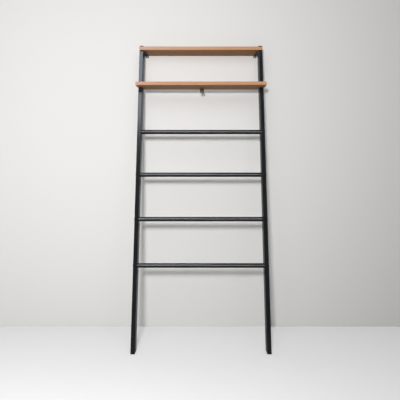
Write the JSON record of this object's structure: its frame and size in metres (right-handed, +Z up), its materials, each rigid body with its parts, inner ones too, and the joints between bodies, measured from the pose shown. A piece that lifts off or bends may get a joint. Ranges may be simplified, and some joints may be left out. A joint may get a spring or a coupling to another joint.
{
  "type": "towel rack",
  "caption": "Ladder towel rack that leans on a wall: raked rectangular rails joined by round rungs, with narrow wooden shelves at the top.",
  "frame": {"origin": "on the wall plane, midway between the two wall screws, 1462 mm above the floor", "axes": "+Z up, +Y into the wall (the front looks towards -Y), +X to the right seen from the front; the wall is the plane Y = 0 and the floor is Z = -1.462 m"},
  "size_m": [0.656, 0.3718, 1.495],
  "materials": {
    "black_coat": "satin powder coat",
    "wood": "oiled, satin",
    "black_plastic": "moulded, matt",
    "black_screws": "black plated",
    "plated_steel": "zinc plated",
    "brass": "aged, satin"
  },
  "bodies": {
    "root": {"left_rail": "black_coat", "right_rail": "black_coat", "rung_1": "black_coat", "rung_2": "black_coat", "rung_3": "black_coat", "rung_4": "black_coat", "left_wall_bracket": "black_coat", "right_wall_bracket": "black_coat", "upper_shelf": "wood", "lower_shelf": "wood", "left_foot_cap": "black_plastic", "right_foot_cap": "black_plastic", "left_top_cap": "black_plastic", "right_top_cap": "black_plastic", "left_rung_bolts": "black_screws", "right_rung_bolts": "black_screws", "left_shelf_bolts": "black_screws", "right_shelf_bolts": "black_screws", "left_bracket_screws": "black_screws", "right_bracket_screws": "black_screws", "left_board_screws": "black_screws", "right_board_screws": "black_screws", "rung_1_inserts": "plated_steel", "rung_2_inserts": "plated_steel", "rung_3_inserts": "plated_steel", "rung_4_inserts": "plated_steel", "lower_shelf_inserts": "plated_steel", "brass_tab": "brass", "tab_screw": "brass"}
  },
  "joints": []
}
